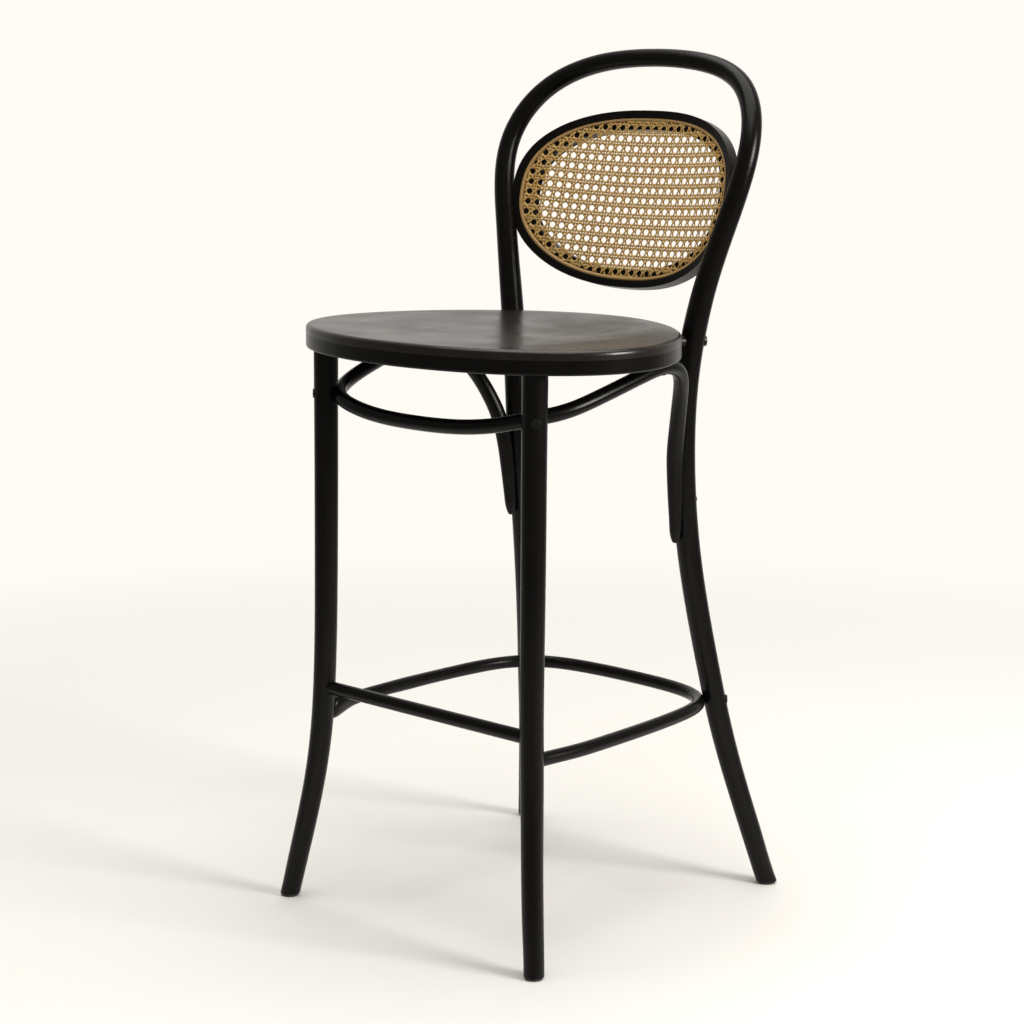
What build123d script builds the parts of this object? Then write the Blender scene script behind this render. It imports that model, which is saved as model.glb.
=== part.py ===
from build123d import *
from math import cos, sin, radians, sqrt, copysign, atan2, degrees
import os

# Bentwood counter stool with a footrest. Millimetres. +Z up, the sitter faces -Y,
# the sitter's left is +X, the floor is Z = 0 and the stool is symmetric about X = 0.

# ---- seat ----
seat_height = 650.0  # floor to the seat's upper edge
seat_half_width = 223.0  # at the middle of its depth
seat_half_depth = 178.9
seat_squareness = 2.0  # exponent of the plan outline: 2 is an ellipse
seat_taper = 0.189  # share by which the seat narrows from its middle to its back
seat_centre_y = -42.4
rim_height = 15.5  # bent wooden ring under the top
rim_width = 56.0
top_thickness = 10.0
top_edge_round = 5.0
rim_edge_round = 2.5
dish_depth = 4.0
dish_radius = 160.0  # plan radius of the hollow

# ---- rear legs and back, one bent rod ----
# Stations are (out from the rear span, back from the rear setback, height, rod radius).
rear_span = seat_half_width - 86.6  # half distance between the rods at the seat
rear_setback = seat_centre_y + seat_half_depth - 17.3
foot_start = -10.0  # rods start under the floor and are cut level at the glides
hoop_low = [
    (54.0, 87.3, foot_start, 11.3),
    (39.5, 72.8, 50.0, 11.6),
    (28.4, 61.6, 100.0, 11.9),
    (18.2, 50.4, 150.0, 12.2),
    (9.8, 40.2, 200.0, 12.6),
    (1.6, 29.7, 260.0, 12.8),
]
# From here up, heights are measured from the seat's upper edge.
hoop_high = [
    (-11.3, 7.1, -250.0, 13.2),
    (-12.5, -2.9, -150.0, 13.5),
    (-7.3, -3.3, -50.0, 13.5),
    (0.0, 0.0, 0.0, 13.2),
    (10.6, 5.9, 50.0, 12.6),
    (23.9, 15.0, 100.0, 12.0),
    (36.4, 25.9, 150.0, 11.7),
    (39.2, 38.6, 190.0, 11.4),
    (26.8, 57.3, 230.0, 11.2),
    (3.7, 72.9, 256.0, 11.0),
]
# Over the top, half widths are measured from the middle.
crown_half_width = 100.1
crown_inner_width = 52.0
crown_rise = 275.5
crown_inner_rise = 284.6
top_rise = 287.1
crown_back = 86.0
crown_inner_back = 90.4
top_back = 91.9

# ---- front legs: out from the leg span, back from the leg setback, height, radius ----
leg_span = seat_half_width - 69.0
leg_setback = seat_centre_y - seat_half_depth + 58.5
leg_low = [
    (35.0, -38.1, foot_start, 11.0),
    (24.9, -28.5, 50.0, 11.4),
    (16.6, -20.7, 100.0, 11.7),
    (9.9, -13.7, 150.0, 12.0),
    (5.3, -8.9, 200.0, 12.4),
    (2.3, -6.1, 260.0, 12.6),
]
leg_high = [
    (0.6, -2.8, -250.0, 13.0),
    (0.1, -1.4, -150.0, 13.2),
    (0.0, -0.2, -50.0, 13.4),
    (0.0, 0.0, -26.0, 13.4),
]
tenon_radius = 8.0
tenon_length = 11.0

# ---- bent brace under the seat: heights are measured from the rim's underside ----
brace_radius = 8.0
brace_sag = 64.0  # how far the front arc's middle hangs below the rim
brace_bow = -16.2  # front arc's middle, from the leg setback
brace_front = [
    (-94.0, -13.2, -62.5),
    (-49.0, -7.7, -57.0),
    (-26.0, -1.2, -52.0),
    (-10.5, 9.3, -47.7),
    (1.5, 24.8, -44.5),
    (12.0, 47.1, -39.0),
    (18.5, 76.8, -30.5),
]
brace_middle = [
    (22.3, -11.2, -21.5),
    (25.0, 20.6, -13.0),
    (25.8, 48.4, -7.8),
    (23.5, 69.4, -9.0),
]
brace_rear = [
    (36.1, -73.7, -16.0, 8.0),
    (29.6, -61.7, -26.5, 8.2),
    (20.1, -49.9, -41.5, 8.4),
    (11.1, -40.8, -59.2, 8.6),
    (3.5, -33.6, -78.0, 8.8),
    (-2.7, -28.2, -96.8, 9.0),
    (-7.5, -24.2, -119.5, 9.0),
    (-9.8, -20.8, -145.1, 8.6),
    (-10.9, -18.2, -170.5, 8.0),
    (-11.6, -16.3, -194.5, 7.0),
    (-12.2, -15.4, -211.5, 5.2),
    (-12.4, -15.3, -217.5, 2.6),
]
brace_screw_height = -49.0  # where the front legs are screwed to the brace
brace_tip_height = -172.0  # where the rear legs are screwed to it
brace_top_screw = (25.8, 48.4)  # out from the leg span, back from the seat's centre

# ---- footrest ----
bar_height = 245.0
bar_radius = 7.4
bar_tenon_radius = 4.5
rail_height = 220.0
rail_radius = 7.4
# Side stations run back from the front leg; corner stations are set from the rear leg.
rail_front = [(1.3, 6.7), (4.8, 60.7), (5.8, 115.7), (4.3, 170.7)]
rail_rear = [(15.9, -106.0), (9.9, -61.0), (-3.8, -25.5), (-28.6, -3.0), (-65.6, 9.5), (-104.6, 13.5)]
rail_bow = 14.5  # middle of the back run, from the rear leg

# ---- oval back panel ----
panel_tilt = 14.3  # degrees back from vertical
panel_back = 58.3  # front face of the oval at mid width, from the rear setback
panel_rise = 129.0  # centre of the oval above the seat
panel_bend = 370.0  # radius of the panel's sideways curve
oval_bite = 1.5  # how deep the oval is let into the rods on either side
oval_half_height = 102.2
oval_squareness = 2.33
oval_depth = 15.0  # ring thickness front to back
oval_face = 8.0  # width of the ring's plain front face
groove_width = 4.6
groove_depth = 7.0
ledge_width = 9.0  # part of the ring that lies behind the cane
ledge_drop = 3.0  # ring face to ledge
cane_thickness = 2.4
spline_drop = 0.8  # ring face to the reed's crown

# ---- hardware and feet ----
bolt_radius = 3.0
bolt_head_radius = 6.5
bolt_head_height = 3.0
bolt_drop = 18.0  # bolt axis below the seat's upper edge
bolt_grip = 74.0  # rear leg's centreline to the nut's seat
spacer_radius = 7.0  # round block between the rim and each rear leg
nut_radius = 5.5
nut_height = 5.0
screw_radius = 2.0
screw_head_radius = 5.2
screw_head_height = 2.2
dowel_radius = 2.0
dowel_bury = 8.0  # how far a dowel goes past the centreline of the rod it holds
dowel_reach = 24.0
recess_width = 1.3
recess_depth = 1.0
head_clearance = 0.2
glide_radius = 9.5
glide_height = 3.0
nail_radius = 1.2
nail_length = 16.0


def outline(half_x, half_y, power, taper=0.0, count=48):
    # Points of a closed rounded outline about the origin, narrower towards +y by the taper.
    points = []
    for step in range(count):
        angle = radians(360.0 * step / count)
        cx = copysign(abs(cos(angle)) ** (2.0 / power), cos(angle))
        cy = copysign(abs(sin(angle)) ** (2.0 / power), sin(angle))
        points.append((half_x * cx * (1.0 - taper * cy), half_y * cy))
    return points


def mirrored(side, middle):
    # Stations of a rod that runs from one end over the middle to the other end.
    other = [(-x, y, z, r) for x, y, z, r in reversed(side)]
    return list(side) + [middle] + other


def at_height(side, height):
    # Centre and radius of a rod at one height, by straight interpolation.
    for low, high in zip(side, side[1:]):
        if low[2] <= height <= high[2]:
            t = (height - low[2]) / (high[2] - low[2])
            return [a + (b - a) * t for a, b in zip(low, high)]
    return list(side[-1])


os.makedirs("parts", exist_ok=True)

under_seat = seat_height - top_thickness - rim_height
hoop_side = [(rear_span + x, rear_setback + y, z, r) for x, y, z, r in hoop_low]
hoop_side += [(rear_span + x, rear_setback + y, seat_height + z, r) for x, y, z, r in hoop_high]
hoop_side += [
    (crown_half_width, rear_setback + crown_back, seat_height + crown_rise, 10.7),
    (crown_inner_width, rear_setback + crown_inner_back, seat_height + crown_inner_rise, 10.4),
]
hoop_top = (0.0, rear_setback + top_back, seat_height + top_rise, 10.2)
leg_side = [(leg_span + x, leg_setback + y, z, r) for x, y, z, r in leg_low]
leg_side += [(leg_span + x, leg_setback + y, seat_height + z, r) for x, y, z, r in leg_high]
brace_side = [(leg_span + x, leg_setback + y, under_seat + z, brace_radius) for x, y, z in brace_front]
brace_side += [(leg_span + x, seat_centre_y + y, under_seat + z, brace_radius) for x, y, z in brace_middle]
brace_side += [(rear_span + x, rear_setback + y, under_seat + z, r) for x, y, z, r in brace_rear]
brace_mid = (0.0, leg_setback + brace_bow, under_seat - brace_sag, brace_radius)
hoop_at_rail = at_height(hoop_side, rail_height)
leg_at_rail = at_height(leg_side, rail_height)
rail_side = [(leg_at_rail[0] + x, leg_at_rail[1] + y) for x, y in rail_front]
rail_side += [(hoop_at_rail[0] + x, hoop_at_rail[1] + y) for x, y in rail_rear]

hoop_stations = mirrored(hoop_side, hoop_top)
brace_stations = mirrored(list(reversed(brace_side)), brace_mid)
rail_stations = mirrored(
    [(x, y, rail_height, rail_radius) for x, y in rail_side],
    (0.0, hoop_at_rail[1] + rail_bow, rail_height, rail_radius),
)
foot_of_leg = at_height(leg_side, glide_height)
foot_of_hoop = at_height(hoop_side, glide_height)

# Rear legs and back loop in one bent rod: round sections set square to its centreline.
with BuildPart() as back_hoop:
    with BuildLine() as hoop_line:
        hoop_curve = Spline(*[station[:3] for station in hoop_stations])
    for station in hoop_stations:
        spot = hoop_curve.param_at_point(station[:3])
        with BuildSketch(Plane(origin=station[:3], x_dir=(0, -1, 0.001), z_dir=hoop_curve % spot)):
            Circle(station[3])
    loft()
    # Feet are cut level above the glides.
    with BuildSketch(Plane.XY.offset(glide_height - 20)):
        Rectangle(600, 600)
    extrude(amount=20, mode=Mode.SUBTRACT)

# Front legs: the same tapered rod, with a round tenon into the seat rim.
legs = []
for side in (1, -1):
    with BuildPart() as leg:
        stations = [(side * x, y, z, r) for x, y, z, r in leg_side]
        with BuildLine() as leg_line:
            leg_curve = Spline(*[station[:3] for station in stations])
        for station in stations:
            spot = leg_curve.param_at_point(station[:3])
            with BuildSketch(Plane(origin=station[:3], x_dir=(0, -1, 0.001), z_dir=leg_curve % spot)):
                Circle(station[3])
        loft()
        # The foot is level and the shoulder is level under the rim.
        with BuildSketch(Plane.XY.offset(glide_height - 20)):
            Rectangle(600, 600)
        extrude(amount=20, mode=Mode.SUBTRACT)
        with BuildSketch(Plane.XY.offset(under_seat)):
            Rectangle(600, 600)
        extrude(amount=30, mode=Mode.SUBTRACT)
        with BuildSketch(Plane((side * leg_side[-1][0], leg_side[-1][1], under_seat - 4))):
            Circle(tenon_radius)
        extrude(amount=tenon_length + 4)
    legs.append(leg)

# Where each screw, dowel or bolt crosses the rod that it goes through.
bolt_height = seat_height - bolt_drop
panel_centre_y = rear_setback + panel_back
panel_centre_z = seat_height + panel_rise
brace_height = under_seat + brace_screw_height
tip_height = under_seat + brace_tip_height
hoop_at_bolt = at_height(hoop_side, bolt_height)
hoop_at_panel = at_height(hoop_side, panel_centre_z + 3)
hoop_at_tip = at_height(hoop_side, tip_height)
leg_at_brace = at_height(leg_side, brace_height)
leg_at_bar = at_height(leg_side, bar_height)
oval_half_width = hoop_at_panel[0] - hoop_at_panel[3] + oval_bite


def both_sides(spot, aim):
    # The same axis on the sitter's left and right.
    left = Plane(origin=spot, x_dir=(0, 0.01, 1), z_dir=aim)
    right = Plane(origin=(-spot[0], spot[1], spot[2]), x_dir=(0, 0.01, 1), z_dir=(-aim[0], aim[1], aim[2]))
    return [left, right]


bolt_planes = both_sides((hoop_at_bolt[0], hoop_at_bolt[1], bolt_height), (-0.405, -0.914, 0))
rail_planes = both_sides((hoop_at_rail[0], hoop_at_rail[1], rail_height), (-0.66, -0.75, 0))
panel_planes = both_sides((hoop_at_panel[0], hoop_at_panel[1], panel_centre_z + 3), (-0.74, 0.67, 0))
tip_planes = both_sides((hoop_at_tip[0], hoop_at_tip[1], tip_height), (0.0, -1.0, 0))
brace_planes = both_sides((leg_at_brace[0], leg_at_brace[1], brace_height), (-0.745, 0.667, 0))
joint_planes = both_sides((leg_at_rail[0], leg_at_rail[1], rail_height), (0.03, 1.0, 0))

# planes, seat distance behind the member's centre, reach in front of it, shank, head
bolt_holes = (bolt_planes, 11.6, 40.0, bolt_radius, bolt_head_radius)
rail_holes = (rail_planes, 11.4, 24.0, screw_radius, screw_head_radius)
tip_holes = (tip_planes, 12.0, 24.0, screw_radius, screw_head_radius)
brace_holes = (brace_planes, 12.0, 20.0, screw_radius, screw_head_radius)
counterbore = 12.0

with BuildPart() as hoop_drilled:
    add(back_hoop.part)
    for planes, seat, reach, shank, head in (bolt_holes, rail_holes, tip_holes):
        for plane in planes:
            with BuildSketch(plane.offset(-seat - 0.5)):
                Circle(shank)
            extrude(amount=seat + 0.5 + reach, mode=Mode.SUBTRACT)
            with BuildSketch(plane.offset(-seat)):
                Circle(head + head_clearance)
            extrude(amount=-counterbore, mode=Mode.SUBTRACT)
    # Blind holes for the dowels that hold the oval.
    for plane in panel_planes:
        with BuildSketch(plane.offset(-dowel_bury)):
            Circle(dowel_radius)
        extrude(amount=dowel_bury + dowel_reach, mode=Mode.SUBTRACT)
    # Nail holes up the feet.
    for side in (1, -1):
        with BuildSketch(Plane((side * foot_of_hoop[0], foot_of_hoop[1], 0))):
            Circle(nail_radius)
        extrude(amount=nail_length, mode=Mode.SUBTRACT)

front_legs = []
for side, leg in zip((1, -1), legs):
    with BuildPart() as front_leg:
        add(leg.part)
        planes, seat, reach, shank, head = brace_holes
        for plane in planes:
            with BuildSketch(plane.offset(-seat - 0.5)):
                Circle(shank)
            extrude(amount=seat + 0.5 + reach, mode=Mode.SUBTRACT)
            with BuildSketch(plane.offset(-seat)):
                Circle(head + head_clearance)
            extrude(amount=-counterbore, mode=Mode.SUBTRACT)
        # Blind hole for the dowel into the footrest rail's end.
        for plane in joint_planes:
            with BuildSketch(plane.offset(-dowel_bury)):
                Circle(dowel_radius)
            extrude(amount=dowel_bury + dowel_reach, mode=Mode.SUBTRACT)
        with BuildSketch(Plane.YZ.offset(side * (leg_at_bar[0] - 2))):
            with Locations((leg_at_bar[1], bar_height)):
                Circle(bar_tenon_radius)
        extrude(amount=-side * 20, mode=Mode.SUBTRACT)
        with BuildSketch(Plane((side * foot_of_leg[0], foot_of_leg[1], 0))):
            Circle(nail_radius)
        extrude(amount=nail_length, mode=Mode.SUBTRACT)
    front_legs.append(front_leg)

# Seat rim: a bent wooden ring, open in the middle.
with BuildPart() as seat_ring:
    with BuildSketch(Plane((0, seat_centre_y, under_seat))):
        with BuildLine():
            Spline(
                *outline(seat_half_width, seat_half_depth, seat_squareness, seat_taper),
                periodic=True,
            )
        make_face()
        with BuildLine():
            Spline(
                *outline(
                    seat_half_width - rim_width,
                    seat_half_depth - rim_width,
                    seat_squareness,
                    seat_taper,
                ),
                periodic=True,
            )
        make_face(mode=Mode.SUBTRACT)
    extrude(amount=rim_height)
    low = seat_ring.edges().group_by(Axis.Z)[0].sort_by(SortBy.LENGTH)[-1]
    fillet(low, rim_edge_round)
    with BuildSketch(Plane((0, 0, under_seat))):
        with Locations((leg_side[-1][0], leg_side[-1][1]), (-leg_side[-1][0], leg_side[-1][1])):
            Circle(tenon_radius)
    extrude(amount=tenon_length, mode=Mode.SUBTRACT)
    add(back_hoop.part, mode=Mode.SUBTRACT)
    for plane in bolt_planes:
        with BuildSketch(plane):
            Circle(bolt_radius)
        extrude(amount=bolt_grip + 6, mode=Mode.SUBTRACT)
        with BuildSketch(plane.offset(bolt_grip)):
            Circle(nut_radius + 1)
        extrude(amount=14, mode=Mode.SUBTRACT)

# Seat top: a moulded plywood disc with a rounded edge and a shallow hollow.
dish_ball = (dish_radius**2 + dish_depth**2) / (2 * dish_depth)
with BuildPart() as seat_top:
    with BuildSketch(Plane((0, seat_centre_y, seat_height - top_thickness))):
        with BuildLine():
            Spline(
                *outline(seat_half_width, seat_half_depth, seat_squareness, seat_taper),
                periodic=True,
            )
        make_face()
    extrude(amount=top_thickness)
    fillet(seat_top.edges().group_by(Axis.Z)[-1], top_edge_round)
    with Locations((0, seat_centre_y, seat_height - dish_depth + dish_ball)):
        Sphere(dish_ball, mode=Mode.SUBTRACT)
    add(back_hoop.part, mode=Mode.SUBTRACT)

# Screws up through the rim into the seat top.
top_screw_inset = 28.0
ring_x = seat_half_width - 24.0
rear_x = seat_half_width - 77.0
ring_y = seat_half_depth - top_screw_inset
top_screw_spots = []
for sx in (1, -1):
    for dx, dy in ((rear_x, 90.0), (ring_x, -36.0), (60.0, -ring_y), (60.0, ring_y)):
        top_screw_spots.append((sx * dx, seat_centre_y + dy))
top_screw_reach = rim_height + 5.0
screw_planes = [Plane((x, y, under_seat)) for x, y in top_screw_spots]
with BuildPart() as top_screws:
    for plane in screw_planes:
        with BuildSketch(plane):
            Circle(3.6)
        extrude(amount=2.0)
        with BuildSketch(plane):
            Circle(1.8)
        extrude(amount=top_screw_reach)
with BuildPart() as ring_drilled:
    add(seat_ring.part)
    add(top_screws.part, mode=Mode.SUBTRACT)
seat_ring = ring_drilled
with BuildPart() as top_drilled:
    add(seat_top.part)
    add(top_screws.part, mode=Mode.SUBTRACT)
seat_top = top_drilled

top_screw_seat = under_seat - 13.0
brace_screw_spots = []
for side in (1, -1):
    brace_screw_spots.append((side * (leg_span + brace_top_screw[0]), seat_centre_y + brace_top_screw[1]))

# Spacers: round blocks on the bolts, coped to the rear leg and to the rim.
with BuildPart() as seat_spacers:
    for plane in bolt_planes:
        with BuildSketch(plane):
            Circle(spacer_radius)
        extrude(amount=bolt_grip / 2)
    add(back_hoop.part, mode=Mode.SUBTRACT)
    add(seat_ring.part, mode=Mode.SUBTRACT)
    for plane in bolt_planes:
        with BuildSketch(plane):
            Circle(bolt_radius)
        extrude(amount=bolt_grip, mode=Mode.SUBTRACT)

# Bent brace: one rod that hangs below the rim in front, rises to touch it at the sides
# and turns down the front of both rear legs.
with BuildPart() as seat_brace:
    with BuildLine():
        brace_curve = Spline(*[station[:3] for station in brace_stations])
    for station in brace_stations:
        spot = brace_curve.param_at_point(station[:3])
        with BuildSketch(Plane(origin=station[:3], z_dir=brace_curve % spot)):
            Circle(station[3])
    loft()
    add(back_hoop.part, mode=Mode.SUBTRACT)
    for leg in legs:
        add(leg.part, mode=Mode.SUBTRACT)
    for planes, seat, reach, shank, head in (brace_holes, tip_holes):
        for plane in planes:
            with BuildSketch(plane):
                Circle(shank)
            extrude(amount=reach, mode=Mode.SUBTRACT)
    # The high points are planed flat against the rim.
    with BuildSketch(Plane.XY.offset(under_seat)):
        Rectangle(600, 600)
    extrude(amount=20, mode=Mode.SUBTRACT)
    # Screws that go up through the brace's high points into the rim.
    with BuildSketch(Plane.XY.offset(top_screw_seat - 20)):
        with Locations(*brace_screw_spots):
            Circle(screw_radius)
    extrude(amount=50, mode=Mode.SUBTRACT)
    with BuildSketch(Plane.XY.offset(top_screw_seat - 20)):
        with Locations(*brace_screw_spots):
            Circle(screw_head_radius + head_clearance)
    extrude(amount=20, mode=Mode.SUBTRACT)

with BuildPart() as brace_top_screws:
    with BuildSketch(Plane.XY.offset(top_screw_seat)):
        with Locations(*brace_screw_spots):
            Circle(screw_radius)
    extrude(amount=24)
    with BuildSketch(Plane.XY.offset(top_screw_seat)):
        with Locations(*brace_screw_spots):
            Circle(screw_head_radius)
    extrude(amount=-screw_head_height)
with BuildPart() as ring_finished:
    add(seat_ring.part)
    add(brace_top_screws.part, mode=Mode.SUBTRACT)
seat_ring = ring_finished

# Footrest rail: a U of bent rod round the sides and back, coped onto all four legs.
with BuildPart() as footrest_rail:
    with BuildLine():
        rail_curve = Spline(*[station[:3] for station in rail_stations])
    for station in rail_stations:
        spot = rail_curve.param_at_point(station[:3])
        with BuildSketch(Plane(origin=station[:3], x_dir=(-1, -1, 0.5), z_dir=rail_curve % spot)):
            Circle(station[3])
    loft()
    add(back_hoop.part, mode=Mode.SUBTRACT)
    for leg in legs:
        add(leg.part, mode=Mode.SUBTRACT)
    for planes, reach, shank in (
        (rail_planes, rail_holes[2], screw_radius),
        (joint_planes, dowel_reach, dowel_radius),
    ):
        for plane in planes:
            with BuildSketch(plane):
                Circle(shank)
            extrude(amount=reach, mode=Mode.SUBTRACT)

# Front bar: a straight rod with a round tenon into each front leg.
with BuildPart() as footrest_bar:
    with BuildSketch(Plane.YZ.offset(-leg_at_bar[0])):
        with Locations((leg_at_bar[1], bar_height)):
            Circle(bar_radius)
    extrude(amount=2 * leg_at_bar[0])
    for leg in legs:
        add(leg.part, mode=Mode.SUBTRACT)
    with BuildSketch(Plane.YZ.offset(-leg_at_bar[0] + 4)):
        with Locations((leg_at_bar[1], bar_height)):
            Circle(bar_tenon_radius)
    extrude(amount=2 * leg_at_bar[0] - 8)

# Oval back panel. Local x is across, local y is up the tilted panel, z is out of its front.
tilt_cos = cos(radians(panel_tilt))
tilt_sin = sin(radians(panel_tilt))
panel_origin = (0, panel_centre_y, panel_centre_z)
face_plane = Plane(origin=panel_origin, x_dir=(1, 0, 0), z_dir=(0, -tilt_cos, tilt_sin))
bend_plane = Plane(origin=panel_origin, x_dir=(1, 0, 0), z_dir=(0, tilt_sin, tilt_cos))
bend_reach = 130.0
ovals = {}
for inset in (0.0, oval_face, oval_face + groove_width, oval_face + groove_width + ledge_width):
    ovals[inset] = outline(oval_half_width - inset, oval_half_height - inset, oval_squareness)
step_half = (oval_half_width - oval_face - 2.5, oval_half_height - oval_face - 2.5)
edge_at = 0.0
groove_at = oval_face
cane_at = oval_face + groove_width
opening_at = oval_face + groove_width + ledge_width


with BuildPart() as back_frame:
    with BuildSketch(face_plane):
        with BuildLine():
            Spline(*ovals[edge_at], periodic=True)
        make_face()
        with BuildLine():
            Spline(*ovals[opening_at], periodic=True)
        make_face(mode=Mode.SUBTRACT)
    extrude(amount=80, both=True)
    with BuildSketch(bend_plane.offset(-bend_reach)):
        with Locations((0, -panel_bend)):
            Circle(panel_bend + oval_depth)
            Circle(panel_bend, mode=Mode.SUBTRACT)
    extrude(amount=2 * bend_reach, mode=Mode.INTERSECT)

# The groove for the reed, and the step that the cane lies on, are cut from the ring.
with BuildPart() as groove_cut:
    with BuildSketch(face_plane):
        with BuildLine():
            Spline(*ovals[groove_at], periodic=True)
        make_face()
        with BuildLine():
            Spline(*ovals[cane_at], periodic=True)
        make_face(mode=Mode.SUBTRACT)
    extrude(amount=80, both=True)
    with BuildSketch(bend_plane.offset(-bend_reach)):
        with Locations((0, -panel_bend)):
            Circle(panel_bend + groove_depth)
            Circle(panel_bend - 20, mode=Mode.SUBTRACT)
    extrude(amount=2 * bend_reach, mode=Mode.INTERSECT)

with BuildPart() as step_cut:
    with BuildSketch(face_plane):
        with BuildLine():
            Spline(*outline(*step_half, oval_squareness), periodic=True)
        make_face()
    extrude(amount=80, both=True)
    with BuildSketch(bend_plane.offset(-bend_reach)):
        with Locations((0, -panel_bend)):
            Circle(panel_bend + ledge_drop)
            Circle(panel_bend - 22, mode=Mode.SUBTRACT)
    extrude(amount=2 * bend_reach, mode=Mode.INTERSECT)

with BuildPart() as cane_spline:
    with BuildSketch(face_plane):
        with BuildLine():
            Spline(*ovals[groove_at], periodic=True)
        make_face()
        with BuildLine():
            Spline(*ovals[cane_at], periodic=True)
        make_face(mode=Mode.SUBTRACT)
    extrude(amount=80, both=True)
    with BuildSketch(bend_plane.offset(-bend_reach)):
        with Locations((0, -panel_bend)):
            Circle(panel_bend + groove_depth)
            Circle(panel_bend + spline_drop, mode=Mode.SUBTRACT)
    extrude(amount=2 * bend_reach, mode=Mode.INTERSECT)

with BuildPart() as cane_panel:
    with BuildSketch(face_plane):
        with BuildLine():
            Spline(*ovals[cane_at], periodic=True)
        make_face()
    extrude(amount=80, both=True)
    with BuildSketch(bend_plane.offset(-bend_reach)):
        with Locations((0, -panel_bend)):
            Circle(panel_bend + ledge_drop)
            Circle(panel_bend + ledge_drop - cane_thickness, mode=Mode.SUBTRACT)
    extrude(amount=2 * bend_reach, mode=Mode.INTERSECT)

with BuildPart() as frame_cut:
    add(back_frame.part)
    add(groove_cut.part, mode=Mode.SUBTRACT)
    add(step_cut.part, mode=Mode.SUBTRACT)
    add(back_hoop.part, mode=Mode.SUBTRACT)
    for plane in panel_planes:
        with BuildSketch(plane):
            Circle(dowel_radius)
        extrude(amount=dowel_reach, mode=Mode.SUBTRACT)
back_frame = frame_cut

# Hardware: round heads with a cross recess, each set of screws as one node.
screw_nodes = []
for name, holes in (
    ("rail_screws", rail_holes),
    ("brace_rear_screws", tip_holes),
    ("brace_front_screws", brace_holes),
):
    planes, seat, reach, shank, head = holes
    with BuildPart() as screws:
        for plane in planes:
            with BuildSketch(plane.offset(-seat)):
                Circle(shank)
            extrude(amount=seat + reach)
            with BuildSketch(plane.offset(-seat)):
                Circle(head)
            extrude(amount=-screw_head_height)
            with BuildSketch(plane.offset(-seat - screw_head_height)):
                Rectangle(head, recess_width)
                Rectangle(recess_width, head)
            extrude(amount=recess_depth, mode=Mode.SUBTRACT)
    screw_nodes.append((name, screws))

# Wooden dowels, hidden inside the joints.
dowel_nodes = []
for name, planes in (("rail_dowels", joint_planes), ("panel_dowels", panel_planes)):
    with BuildPart() as dowels:
        for plane in planes:
            with BuildSketch(plane.offset(-dowel_bury)):
                Circle(dowel_radius)
            extrude(amount=dowel_bury + dowel_reach)
    dowel_nodes.append((name, dowels))

with BuildPart() as seat_bolts:
    planes, seat, reach, shank, head = bolt_holes
    for plane in planes:
        with BuildSketch(plane.offset(-seat)):
            Circle(shank)
        extrude(amount=seat + bolt_grip + nut_height)
        with BuildSketch(plane.offset(-seat)):
            Circle(head)
        extrude(amount=-bolt_head_height)
        with BuildSketch(plane.offset(-seat - bolt_head_height)):
            RegularPolygon(2.6, 6)
        extrude(amount=1.8, mode=Mode.SUBTRACT)

with BuildPart() as bolt_nuts:
    for plane in bolt_planes:
        with BuildSketch(plane.offset(bolt_grip)):
            RegularPolygon(nut_radius, 6)
            Circle(bolt_radius, mode=Mode.SUBTRACT)
        extrude(amount=nut_height)

# Feet: a plastic disc held by a nail under each leg.
foot_spots = [
    ("glide_front_left", foot_of_leg[0], foot_of_leg[1]),
    ("glide_front_right", -foot_of_leg[0], foot_of_leg[1]),
    ("glide_rear_left", foot_of_hoop[0], foot_of_hoop[1]),
    ("glide_rear_right", -foot_of_hoop[0], foot_of_hoop[1]),
]
glides = []
for name, x, y in foot_spots:
    with BuildPart() as glide:
        with BuildSketch(Plane((x, y, 0))):
            Circle(glide_radius)
        extrude(amount=glide_height)
        fillet(glide.edges().group_by(Axis.Z)[0], 0.8)
        with BuildSketch(Plane((x, y, 1.0))):
            Circle(nail_radius)
        extrude(amount=glide_height, mode=Mode.SUBTRACT)
    glides.append((name, glide))

with BuildPart() as glide_nails:
    for name, x, y in foot_spots:
        with BuildSketch(Plane((x, y, 1.0))):
            Circle(nail_radius)
        extrude(amount=nail_length - 1.0)

made = [
    ("back_hoop", hoop_drilled),
    ("front_leg_left", front_legs[0]),
    ("front_leg_right", front_legs[1]),
    ("seat_ring", seat_ring),
    ("seat_top", seat_top),
    ("seat_spacers", seat_spacers),
    ("top_screws", top_screws),
    ("seat_brace", seat_brace),
    ("brace_top_screws", brace_top_screws),
    ("footrest_rail", footrest_rail),
    ("footrest_bar", footrest_bar),
    ("back_frame", back_frame),
    ("cane_spline", cane_spline),
    ("cane_panel", cane_panel),
    ("seat_bolts", seat_bolts),
    ("bolt_nuts", bolt_nuts),
    ("glide_nails", glide_nails),
]
for name, builder in made + screw_nodes + dowel_nodes + glides:
    builder.part.label = name
    export_step(builder.part, "parts/" + name + ".step")
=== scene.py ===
from math import ceil, copysign, cos, pi, radians, sin, sqrt
from random import Random

import bpy
from mathutils import Matrix, Vector


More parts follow.
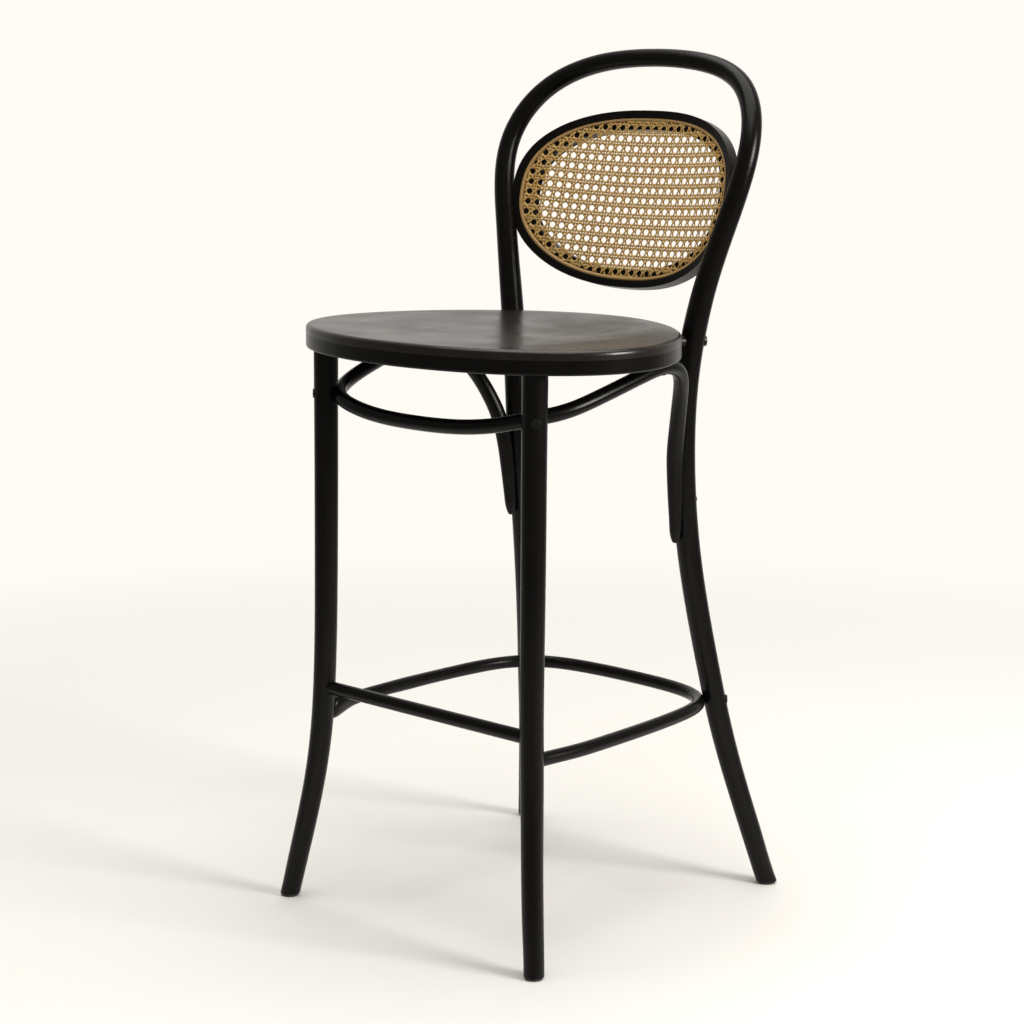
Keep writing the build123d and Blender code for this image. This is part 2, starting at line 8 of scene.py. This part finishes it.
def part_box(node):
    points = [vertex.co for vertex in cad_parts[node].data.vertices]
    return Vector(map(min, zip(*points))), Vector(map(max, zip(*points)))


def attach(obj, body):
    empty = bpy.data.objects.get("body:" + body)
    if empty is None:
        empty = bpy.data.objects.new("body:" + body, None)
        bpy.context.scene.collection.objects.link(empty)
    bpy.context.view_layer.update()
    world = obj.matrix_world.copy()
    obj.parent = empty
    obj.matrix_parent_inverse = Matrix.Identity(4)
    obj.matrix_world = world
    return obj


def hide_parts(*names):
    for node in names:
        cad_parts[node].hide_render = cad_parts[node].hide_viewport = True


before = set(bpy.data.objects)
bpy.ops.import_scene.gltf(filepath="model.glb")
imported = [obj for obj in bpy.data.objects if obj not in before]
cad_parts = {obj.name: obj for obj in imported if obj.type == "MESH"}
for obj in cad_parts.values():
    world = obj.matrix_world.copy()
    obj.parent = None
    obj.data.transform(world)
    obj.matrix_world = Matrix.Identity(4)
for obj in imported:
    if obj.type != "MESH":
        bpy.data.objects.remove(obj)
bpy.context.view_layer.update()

MM = 0.001


# ---- camera -------------------------------------------------------------------------------
camera_spot = Vector((1.7623, -1.9476, 0.9404))
camera_right = Vector((0.7363, 0.6767, 0.0010))
camera_forward = Vector((-0.6647, 0.7235, -0.1866))
camera_lens = 84.41
camera_shift = -0.0013


def make_camera():
    """The camera at the photograph's viewing angle; gives its right and forward directions."""
    data = bpy.data.cameras.new("camera")
    data.sensor_width = 36.0
    data.lens = camera_lens
    data.shift_y = camera_shift
    data.dof.use_dof = False
    data.clip_start = 0.05
    data.clip_end = 200.0
    camera = bpy.data.objects.new("camera", data)
    bpy.context.collection.objects.link(camera)
    right = camera_right.normalized()
    forward = camera_forward.normalized()
    up = right.cross(forward).normalized()
    right = forward.cross(up).normalized()
    turn = Matrix((right, up, -forward)).transposed().to_4x4()
    camera.matrix_world = Matrix.Translation(camera_spot) @ turn
    bpy.context.scene.camera = camera
    return right, forward


image_right, image_away = make_camera()


# ---- materials ----------------------------------------------------------------------------
class Tree:
    """A small helper that adds nodes and links them by socket name."""

    def __init__(self, name):
        self.material = bpy.data.materials.new(name)
        self.material.use_nodes = True
        self.nodes = self.material.node_tree.nodes
        self.links = self.material.node_tree.links
        self.nodes.clear()
        self.output = self.nodes.new("ShaderNodeOutputMaterial")
        self.shader = self.nodes.new("ShaderNodeBsdfPrincipled")
        self.links.new(self.shader.outputs[0], self.output.inputs["Surface"])
        self.place = self.nodes.new("ShaderNodeTexCoord").outputs["Object"]

    def mapped(self, scale, turn=(0, 0, 0)):
        node = self.nodes.new("ShaderNodeMapping")
        node.inputs["Scale"].default_value = scale
        node.inputs["Rotation"].default_value = turn
        self.links.new(self.place, node.inputs["Vector"])
        return node.outputs[0]

    def noise(self, vector, scale, detail=4.0, rough=0.55, distortion=0.0):
        node = self.nodes.new("ShaderNodeTexNoise")
        node.inputs["Scale"].default_value = scale
        node.inputs["Detail"].default_value = detail
        node.inputs["Roughness"].default_value = rough
        node.inputs["Distortion"].default_value = distortion
        self.links.new(vector, node.inputs["Vector"])
        return node.outputs["Fac"]

    def ramp(self, value, *stops):
        node = self.nodes.new("ShaderNodeValToRGB")
        band = node.color_ramp
        while len(band.elements) < len(stops):
            band.elements.new(0.5)
        for element, (at, colour) in zip(band.elements, stops):
            element.position = at
            element.color = (*colour, 1.0)
        self.links.new(value, node.inputs["Fac"])
        return node.outputs["Color"]

    def span(self, value, low, high, start=0.3, end=0.7):
        node = self.nodes.new("ShaderNodeMapRange")
        node.inputs["From Min"].default_value = start
        node.inputs["From Max"].default_value = end
        node.inputs["To Min"].default_value = low
        node.inputs["To Max"].default_value = high
        self.links.new(value, node.inputs["Value"])
        return node.outputs["Result"]

    def mix(self, share, first, second, kind="MIX"):
        node = self.nodes.new("ShaderNodeMix")
        node.data_type = "RGBA"
        node.blend_type = kind
        for place, value in ((0, share), (6, first), (7, second)):
            socket = node.inputs[place]
            if isinstance(value, (int, float)):
                socket.default_value = value
            elif isinstance(value, tuple):
                socket.default_value = (*value, 1.0)
            else:
                self.links.new(value, socket)
        return node.outputs[2]

    def bump(self, height, distance, strength=1.0, under=None):
        node = self.nodes.new("ShaderNodeBump")
        node.inputs["Distance"].default_value = distance
        node.inputs["Strength"].default_value = strength
        self.links.new(height, node.inputs["Height"])
        if under is not None:
            self.links.new(under, node.inputs["Normal"])
        return node.outputs[0]

    def set(self, **sockets):
        for name, value in sockets.items():
            socket = self.shader.inputs[name.replace("_", " ")]
            if isinstance(value, (int, float)):
                socket.default_value = value
            elif isinstance(value, tuple):
                socket.default_value = (*value, 1.0)
            else:
                self.links.new(value, socket)


def lacquer(
    name,
    grain,
    deep=(0.0020, 0.0017, 0.0014),
    worn=(0.0055, 0.0045, 0.0036),
    gloss=(0.24, 0.33),
    shine=0.22,
):
    """Satin black lacquer over wood: faint grain, soft unevenness and a little wear in the sheen."""
    tree = Tree(name)
    along = tree.mapped(grain)
    grain_noise = tree.noise(along, 1.0, 8.0, 0.62, 0.35)
    cloud = tree.noise(tree.place, 14.0, 4.0, 0.5)
    fine = tree.noise(tree.place, 900.0, 3.0, 0.5)
    colour = tree.ramp(grain_noise, (0.32, deep), (0.72, worn))
    tree.set(Base_Color=tree.mix(tree.span(cloud, 0.0, 0.5), colour, deep))
    tree.set(Roughness=tree.span(cloud, gloss[0], gloss[1]))
    pores = tree.bump(grain_noise, 0.00012, 0.35)
    tree.set(Normal=tree.bump(fine, 0.00002, 0.25, pores))
    tree.set(IOR=1.4, Specular_IOR_Level=shine, Coat_Weight=0.04, Coat_Roughness=0.2)
    return tree.material


def cane_material():
    """Split rattan: warm tan skin with long fibres, each strand with its own tone."""
    tree = Tree("cane")
    tone = tree.nodes.new("ShaderNodeAttribute")
    tone.attribute_name = "tone"
    line = tree.nodes.new("ShaderNodeAttribute")
    line.attribute_name = "along"
    stretch = tree.nodes.new("ShaderNodeMapping")
    stretch.inputs["Scale"].default_value = (55.0, 2600.0, 1.0)
    tree.links.new(line.outputs["Vector"], stretch.inputs["Vector"])
    fibre = tree.noise(stretch.outputs[0], 1.0, 5.0, 0.6)
    blotch = tree.noise(tree.place, 75.0, 3.0, 0.6)
    base = tree.ramp(
        fibre,
        (0.25, (0.44, 0.24, 0.06)),
        (0.5, (0.70, 0.42, 0.11)),
        (0.8, (0.82, 0.56, 0.20)),
    )
    warm = tree.mix(tree.span(blotch, 0.0, 0.55), base, (0.58, 0.33, 0.08))
    own = tree.mix(tree.span(tone.outputs["Fac"], 0.0, 0.6, 0.0, 1.0), warm, (0.80, 0.56, 0.22))
    tree.set(Base_Color=own)
    tree.set(Roughness=tree.span(blotch, 0.38, 0.58))
    tree.set(Normal=tree.bump(fibre, 0.00008, 0.5))
    tree.set(Subsurface_Weight=0.08, Subsurface_Scale=0.0006)
    return tree.material


def reed_material():
    """Round reed: the cane's colours, with coarser fibres."""
    tree = Tree("reed")
    line = tree.nodes.new("ShaderNodeAttribute")
    line.attribute_name = "along"
    stretch = tree.nodes.new("ShaderNodeMapping")
    stretch.inputs["Scale"].default_value = (30.0, 2200.0, 1.0)
    tree.links.new(line.outputs["Vector"], stretch.inputs["Vector"])
    fibre = tree.noise(stretch.outputs[0], 1.0, 5.0, 0.6)
    blotch = tree.noise(tree.place, 60.0, 3.0, 0.55)
    base = tree.ramp(fibre, (0.3, (0.46, 0.26, 0.08)), (0.7, (0.72, 0.46, 0.18)))
    tree.set(Base_Color=tree.mix(tree.span(blotch, 0.0, 0.45), base, (0.50, 0.31, 0.14)))
    tree.set(Roughness=tree.span(blotch, 0.42, 0.6))
    tree.set(Normal=tree.bump(fibre, 0.0001, 0.5))
    return tree.material


def steel_material(name, dark, light, rough):
    """Steel with a fine grain and spots between two tones."""
    tree = Tree(name)
    grain = tree.noise(tree.mapped((1, 1, 9)), 420.0, 5.0, 0.6)
    spots = tree.noise(tree.place, 160.0, 4.0, 0.6)
    tree.set(Base_Color=tree.ramp(spots, (0.35, dark), (0.7, light)))
    tree.set(Roughness=tree.span(grain, rough - 0.08, rough + 0.1))
    tree.set(Normal=tree.bump(grain, 0.00003, 0.4))
    tree.set(Metallic=0.9)
    return tree.material


def plastic_material():
    """Dark scuffed plastic of the foot discs."""
    tree = Tree("glide_plastic")
    fine = tree.noise(tree.place, 1500.0, 3.0, 0.5)
    scuff = tree.noise(tree.mapped((1, 1, 3)), 220.0, 5.0, 0.65)
    tree.set(Base_Color=tree.ramp(scuff, (0.4, (0.016, 0.015, 0.014)), (0.75, (0.05, 0.048, 0.045))))
    tree.set(Roughness=tree.span(scuff, 0.42, 0.62))
    tree.set(Normal=tree.bump(fine, 0.00003, 0.4))
    return tree.material


def dowel_material():
    """Pale bare wood with its grain along the dowel."""
    tree = Tree("dowel_wood")
    grain = tree.noise(tree.mapped((160, 18, 160)), 1.0, 6.0, 0.6, 0.4)
    tree.set(Base_Color=tree.ramp(grain, (0.3, (0.44, 0.28, 0.15)), (0.7, (0.66, 0.47, 0.29))))
    tree.set(Roughness=tree.span(grain, 0.5, 0.7))
    tree.set(Normal=tree.bump(grain, 0.0001, 0.4))
    return tree.material


upright = lacquer("lacquer_upright", (150, 150, 9))
across = lacquer("lacquer_across", (9, 150, 150))
seat_black = lacquer(
    "lacquer_seat", (7, 110, 110), (0.006, 0.0042, 0.003), (0.018, 0.0115, 0.007), (0.24, 0.36), 0.6
)
black_steel = steel_material("black_steel", (0.012, 0.012, 0.012), (0.05, 0.048, 0.045), 0.36)
plain_steel = steel_material("plain_steel", (0.32, 0.31, 0.30), (0.58, 0.57, 0.55), 0.3)

glide_plastic = plastic_material()
dowel_wood = dowel_material()

looks = {
    "back_hoop": upright,
    "front_leg_left": upright,
    "front_leg_right": upright,
    "seat_ring": across,
    "seat_top": seat_black,
    "seat_brace": across,
    "footrest_rail": across,
    "footrest_bar": across,
    "back_frame": across,
    "rail_dowels": dowel_wood,
    "panel_dowels": dowel_wood,
    "bolt_nuts": plain_steel,
    "glide_nails": plain_steel,
}
for name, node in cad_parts.items():
    if name.startswith("glide_") and name != "glide_nails":
        looks[name] = glide_plastic
    finish = looks.get(name, black_steel)
    node.data.materials.clear()
    node.data.materials.append(finish)


# ---- the oval panel's own surface -----------------------------------------------------------
# Sizes repeat the CAD part's, in metres: the panel leans back and bends about an upright axis
# in front of it. "across" and "up" lie in the panel, "out" is the distance from that axis.
panel_tilt = radians(14.3)
panel_bend = 370.0 * MM
ledge_drop = 3.0 * MM
cane_thickness = 2.4 * MM
groove_width = 4.6 * MM
oval_power = 2.33
_, cane_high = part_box("cane_panel")
cane_half_width = cane_high.x
_, reed_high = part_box("cane_spline")
ring_half_height = 102.2 * MM
ring_face = 8.0 * MM
outer_half_height = ring_half_height - ring_face
cane_half_height = outer_half_height - groove_width
lean = Vector((0.0, sin(panel_tilt), cos(panel_tilt)))
back = Vector((0.0, cos(panel_tilt), -sin(panel_tilt)))
panel_centre = Vector((0.0, 177.5 * MM, 779.0 * MM))
bend_axis = panel_centre - back * panel_bend


def on_panel(x, up, out):
    """A point of the panel: x is measured straight across, as the outline is, not round the bend."""
    share = x / panel_bend
    return bend_axis + lean * up + (Vector((1, 0, 0)) * share + back * sqrt(1 - share * share)) * out


def oval(angle):
    """A point of the panel's rounded outline, for half sizes of one."""
    across = copysign(abs(cos(angle)) ** (2 / oval_power), cos(angle))
    upwards = copysign(abs(sin(angle)) ** (2 / oval_power), sin(angle))
    return across, upwards


def new_piece(name, vertices, faces, material, smooth=True, layers=None):
    mesh = bpy.data.meshes.new(name)
    mesh.from_pydata(vertices, [], faces)
    for layer, kind, values in layers or ():
        data = mesh.attributes.new(layer, kind, "POINT").data
        data.foreach_set("vector" if kind == "FLOAT_VECTOR" else "value", values)
    mesh.polygons.foreach_set("use_smooth", [smooth] * len(mesh.polygons))
    mesh.update()
    piece = bpy.data.objects.new(name, mesh)
    bpy.context.collection.objects.link(piece)
    mesh.materials.append(material)
    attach(piece, "root")
    return piece


# ---- woven cane -----------------------------------------------------------------------------
# Six-way cane: paired uprights and crosswise strands, and one diagonal each way through the
# middle of the pairs, so that every mesh is an eight-sided hole.
mesh_pitch = 11.85 * MM
mesh_start_x = -6.1 * MM
mesh_start_up = 4.0 * MM
strand_width = 2.05 * MM
pair_gap = 1.15 * MM
strand_thickness = 0.50 * MM
pair_lift = 0.36 * MM
cross_lift = 0.62 * MM
cane_middle = panel_bend + ledge_drop - cane_thickness / 2
pair_side = (strand_width + pair_gap) / 2
sample = 1.25 * MM


def inside(u, up):
    x = panel_bend * sin(u / panel_bend)
    return (abs(x) / cane_half_width) ** oval_power + (abs(up) / cane_half_height) ** oval_power <= 1


def ease(share):
    return 0.5 - 0.5 * cos(pi * share)


def pair_height(at, side):
    """Height of one strand of a pair, over one strand of each pair it crosses and under the other."""
    at = (at / mesh_pitch) % 1.0
    near = pair_side / mesh_pitch
    if at < near or at > 1 - near:
        share = ((at + near) % 1.0) / (2 * near)
        lift = 1 - 2 * ease(share)
    else:
        share = (at - near) / (1 - 2 * near)
        lift = -1 + 2 * ease(share)
    return side * pair_lift * lift


def weave():
    draw = Random(7)
    vertices, faces, tones, along = [], [], [], []
    reach_x, reach_up = 0.165, 0.095
    strands = []
    for count in range(-16, 17):
        for side in (1, -1):
            at = mesh_start_x + count * mesh_pitch + side * pair_side
            strands.append(((at, -reach_up), (0, 1), 2 * reach_up, ("pair", mesh_start_up, side)))
    for count in range(-9, 10):
        for side in (1, -1):
            at = mesh_start_up + count * mesh_pitch + side * pair_side
            strands.append(((-reach_x, at), (1, 0), 2 * reach_x, ("pair", mesh_start_x, -side)))
    for count in range(-26, 26):
        for slope in (1, -1):
            # Both kinds cross the pairs half way between the crossings.
            middle = (mesh_start_x + (count + 0.5) * mesh_pitch, mesh_start_up)
            run = 2 * (reach_x + reach_up)
            direction = (1 / sqrt(2), slope / sqrt(2))
            begin = (middle[0] - direction[0] * run / 2, middle[1] - direction[1] * run / 2)
            strands.append((begin, direction, run, ("cross", mesh_start_x, slope)))

    for begin, direction, run, (kind, phase, side) in strands:
        tone = draw.random()
        width = strand_width * draw.uniform(0.92, 1.06)
        sway_a, sway_b = draw.uniform(0, 6.3), draw.uniform(25, 60)
        normal = (-direction[1], direction[0])
        steps = int(ceil(run / sample))
        previous = None
        for step in range(steps + 1):
            far = run * step / steps
            drift = 0.00010 * sin(sway_a + far * sway_b)
            u = begin[0] + direction[0] * far + normal[0] * drift
            up = begin[1] + direction[1] * far + normal[1] * drift
            if not inside(u, up):
                previous = None
                continue
            if kind == "pair":
                height = pair_height((up if direction[0] == 0 else u) - phase, side)
            else:
                height = side * cross_lift * cos(2 * pi * (u - phase) / mesh_pitch)
            ring = []
            profile = (
                (-0.5, 0.02), (-0.42, 0.33), (-0.18, 0.5), (0.18, 0.5), (0.42, 0.33), (0.5, 0.02),
                (0.30, -0.42), (-0.30, -0.42),
            )
            for across_share, out_share in profile:
                a = u + normal[0] * across_share * width
                b = up + normal[1] * across_share * width
                out = cane_middle - height - out_share * strand_thickness
                ring.append(len(vertices))
                vertices.append(on_panel(panel_bend * sin(a / panel_bend), b, out))
                tones.append(tone)
                along.extend((far + tone * 9.0, across_share * width, 0.0))
            if previous:
                for k in range(len(ring)):
                    j = (k + 1) % len(ring)
                    faces.append((previous[k], previous[j], ring[j], ring[k]))
            else:
                faces.append(tuple(reversed(ring)))
            previous = ring
    return vertices, faces, tones, along


vertices, faces, tones, along = weave()
cane = new_piece(
    "woven_cane", vertices, faces, cane_material(),
    layers=(("tone", "FLOAT", tones), ("along", "FLOAT_VECTOR", along)),
)
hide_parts("cane_panel")


# ---- reed spline ----------------------------------------------------------------------------
def reed():
    count = 220
    half_x = reed_high.x
    width = groove_width
    vertices, faces, along = [], [], []
    profile = [(1.0, 6.2), (1.0, 2.6)]
    profile += [(0.5 + 0.5 * cos(pi * k / 8), 2.6 - 1.8 * sin(pi * k / 8)) for k in range(1, 8)]
    profile += [(0.0, 2.6), (0.0, 6.2)]
    far = 0.0
    last = None
    for step in range(count):
        spots = []
        for inward, depth in profile:
            angle = 2 * pi * step / count
            inset = inward * width
            cx, cy = oval(angle)
            x = (half_x - 0.05 * MM - inset * 0.98) * cx
            up = (outer_half_height - 0.05 * MM - inset * 0.98) * cy
            spots.append(on_panel(x, up, panel_bend + depth * MM))
        if last:
            far += (spots[0] - last).length
        last = spots[0]
        for k, spot in enumerate(spots):
            vertices.append(spot)
            along.extend((far, k * 0.0007, 0.0))
    rows = len(profile)
    for step in range(count):
        after = (step + 1) % count
        for k in range(rows):
            j = (k + 1) % rows
            faces.append((step * rows + k, step * rows + j, after * rows + j, after * rows + k))
    return vertices, faces, along


vertices, faces, along = reed()
spline = new_piece(
    "reed_spline", vertices, faces, reed_material(),
    layers=(("along", "FLOAT_VECTOR", along),),
)
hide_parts("cane_spline")


# ---- floor, light -----------------------------------------------------------------------------
floor_half_size = 12.0
fade_start, fade_end = 0.7, 1.9


def make_floor():
    """A pale floor that fades into the backdrop round the stool, so that no horizon shows."""
    half = floor_half_size
    corners = [(-half, -half, 0), (half, -half, 0), (half, half, 0), (-half, half, 0)]
    mesh = bpy.data.meshes.new("floor")
    mesh.from_pydata(corners, [], [(0, 1, 2, 3)])
    floor_object = bpy.data.objects.new("floor", mesh)
    bpy.context.collection.objects.link(floor_object)
    tree = Tree("floor")
    cloud = tree.noise(tree.place, 0.8, 3.0, 0.5)
    tree.set(Base_Color=tree.ramp(cloud, (0.3, (0.87, 0.855, 0.825)), (0.7, (0.89, 0.877, 0.85))))
    tree.set(Roughness=0.8, Specular_IOR_Level=0.1)
    far = tree.nodes.new("ShaderNodeVectorMath")
    far.operation = "LENGTH"
    tree.links.new(tree.place, far.inputs[0])
    clear = tree.nodes.new("ShaderNodeBsdfTransparent")
    blend = tree.nodes.new("ShaderNodeMixShader")
    tree.links.new(tree.span(far.outputs["Value"], 0.0, 1.0, fade_start, fade_end), blend.inputs[0])
    tree.links.new(tree.shader.outputs[0], blend.inputs[1])
    tree.links.new(clear.outputs[0], blend.inputs[2])
    tree.links.new(blend.outputs[0], tree.output.inputs["Surface"])
    mesh.materials.append(tree.material)
    return floor_object


make_floor()


def lamp(name, spot, aim, size, power, colour=(1.0, 0.98, 0.95)):
    data = bpy.data.lights.new(name, "AREA")
    data.shape = "RECTANGLE"
    data.size, data.size_y = size
    data.energy = power
    data.color = colour
    lamp_object = bpy.data.objects.new(name, data)
    bpy.context.collection.objects.link(lamp_object)
    lamp_object.location = spot
    lamp_object.rotation_euler = (Vector(aim) - Vector(spot)).to_track_quat("-Z", "Y").to_euler()
    return lamp_object


flat_right = Vector((image_right.x, image_right.y, 0)).normalized()
flat_away = Vector((image_away.x, image_away.y, 0)).normalized()
middle = Vector((0, 0, 0.45))
key = middle + flat_right * 2.6 - flat_away * 1.5 + Vector((0, 0, 1.15))
key_power = 85.0
overhead_power = 84.0
overhead_height = 3.2
lamp("key", key, middle, (1.1, 0.9), key_power, (1.0, 0.975, 0.94))
lamp("overhead", (0, 0, overhead_height), (0, 0, 0), (3.0, 3.0), overhead_power, (1.0, 0.985, 0.955))


backdrop_strength, studio_strength = 0.85, 0.22
backdrop_edge, backdrop_full = 0.35, 0.95


def make_world():
    """The camera sees a warm white backdrop. Surfaces see it too, and a dim studio elsewhere."""
    world = bpy.data.worlds.new("studio")
    bpy.context.scene.world = world
    world.use_nodes = True
    nodes, links = world.node_tree.nodes, world.node_tree.links
    background = nodes["Background"]
    background.inputs["Color"].default_value = (1.0, 0.97, 0.915, 1.0)
    place = nodes.new("ShaderNodeTexCoord")
    facing = nodes.new("ShaderNodeVectorMath")
    facing.operation = "DOT_PRODUCT"
    facing.inputs[1].default_value = flat_away
    links.new(place.outputs["Generated"], facing.inputs[0])
    share = nodes.new("ShaderNodeMapRange")
    share.inputs["From Min"].default_value = backdrop_edge
    share.inputs["From Max"].default_value = backdrop_full
    share.inputs["To Min"].default_value = studio_strength
    share.inputs["To Max"].default_value = backdrop_strength
    links.new(facing.outputs["Value"], share.inputs["Value"])
    path = nodes.new("ShaderNodeLightPath")
    choose = nodes.new("ShaderNodeMix")
    choose.inputs["B"].default_value = 1.0
    links.new(path.outputs["Is Camera Ray"], choose.inputs["Factor"])
    links.new(share.outputs["Result"], choose.inputs["A"])
    links.new(choose.outputs["Result"], background.inputs["Strength"])


make_world()
bpy.context.scene.view_settings.view_transform = "Standard"
